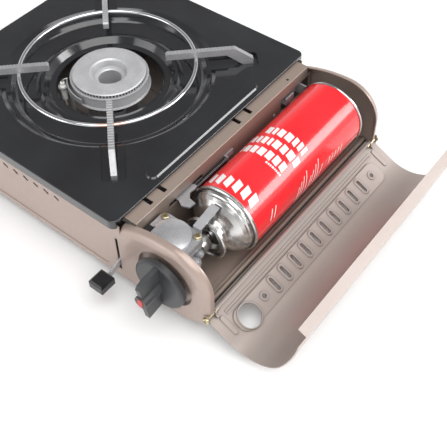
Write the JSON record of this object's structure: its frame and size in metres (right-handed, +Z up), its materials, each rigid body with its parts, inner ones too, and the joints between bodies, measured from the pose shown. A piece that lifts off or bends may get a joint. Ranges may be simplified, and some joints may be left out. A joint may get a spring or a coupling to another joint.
{
  "type": "camping stove",
  "caption": "Portable single-burner gas stove with a hinged cartridge cover, drip bowl, pan support, turning knob, locking lever and gas cartridge.",
  "frame": {"origin": "centre of the bottom of the whole stove's box with its cover open, on the table under the feet", "axes": "+X from the burner towards the cartridge bay and open cover, +Y towards the back, +Z up; the knob and lever are at -Y"},
  "size_m": [0.4332, 0.2938, 0.104],
  "materials": {
    "body_paint": "satin metallic",
    "plate_enamel": "gloss enamel",
    "ring_chrome": "polished",
    "arm_steel": "satin",
    "burner_alloy": "satin",
    "zinc_plate": "satin",
    "governor_alloy": "matt",
    "brass": "satin",
    "yellow_zinc": "satin",
    "ceramic": "glazed",
    "spark_steel": "polished",
    "black_rubber": "matt",
    "lead_sleeve": "matt",
    "black_plastic": "matt",
    "knob_plastic": "matt",
    "red_plastic": "gloss",
    "can_paint": "gloss",
    "tinplate": "satin"
  },
  "bodies": {
    "stove_body": {"base_tray": "body_paint", "front_panel": "body_paint", "rear_panel": "body_paint", "left_panel": "body_paint", "partition_wall": "body_paint", "bay_floor": "body_paint", "side_sill": "body_paint", "rubber_feet": "black_rubber", "top_plate": "plate_enamel", "burner_cap": "burner_alloy", "burner_head": "burner_alloy", "burner_bracket": "zinc_plate", "burner_screws": "zinc_plate", "mixing_tube": "zinc_plate", "gas_jet": "brass", "gas_pipe": "brass", "electrode_bracket": "zinc_plate", "electrode_ceramic": "ceramic", "ignition_electrode": "spark_steel", "ignition_lead": "lead_sleeve", "piezo_igniter": "black_plastic", "governor_body": "governor_alloy", "governor_diaphragm": "black_rubber", "governor_cap": "governor_alloy", "governor_spring": "zinc_plate", "governor_screws": "yellow_zinc", "governor_side_plugs": "zinc_plate", "gas_socket": "brass", "socket_seal": "black_rubber", "guide_strip": "zinc_plate", "lever_pin": "zinc_plate", "lever_bracket": "zinc_plate", "guide_pins": "zinc_plate", "spring_anchor": "zinc_plate", "hinge_screws": "yellow_zinc"},
    "knob": {"valve_spindle": "zinc_plate", "knob_disc": "knob_plastic", "knob_grip": "knob_plastic", "knob_indicator": "red_plastic"},
    "lever": {"lever_arm": "zinc_plate", "lever_tip": "black_plastic"},
    "carriage": {"carriage_bar": "zinc_plate", "front_hook": "zinc_plate", "rear_pusher": "zinc_plate", "return_spring": "zinc_plate", "can_body": "can_paint", "can_dome": "tinplate", "can_base": "tinplate", "can_collar": "tinplate", "can_valve": "tinplate"},
    "cover": {"cover_shell": "body_paint", "cover_ears": "body_paint"},
    "pan_support": {"pan_ring": "ring_chrome", "pan_arm_1": "arm_steel", "pan_arm_2": "arm_steel", "pan_arm_3": "arm_steel", "pan_arm_4": "arm_steel"}
  },
  "joints": [
    {"name": "knob_turn", "type": "hinge", "parent": "stove_body", "child": "knob", "pos_m": [0.09052, -0.12475, 0.0507], "axis": [0, -1, 0], "range_deg": [0, 100]},
    {"name": "lever_swing", "type": "hinge", "parent": "stove_body", "child": "lever", "pos_m": [0.03912, -0.08285, 0.045], "axis": [-1, 0, 0], "range_deg": [0, 36]},
    {"name": "carriage_slide", "type": "slide", "parent": "stove_body", "child": "carriage", "axis": [0, 1, 0], "range_m": [0, 0.00803], "deforming": ["return_spring"]},
    {"name": "cover_swing", "type": "hinge", "parent": "stove_body", "child": "cover", "pos_m": [0.13272, 0.01315, 0.0302], "axis": [0, -1, 0], "range_deg": [0, 117]},
    {"name": "pan_support_lift", "type": "slide", "parent": "stove_body", "child": "pan_support", "axis": [0, 0, 1], "range_m": [0, 0.06]}
  ],
  "couplings": [
    {"joint": "lever_swing", "follows": "carriage_slide", "rad_per_m": 78.203}
  ]
}
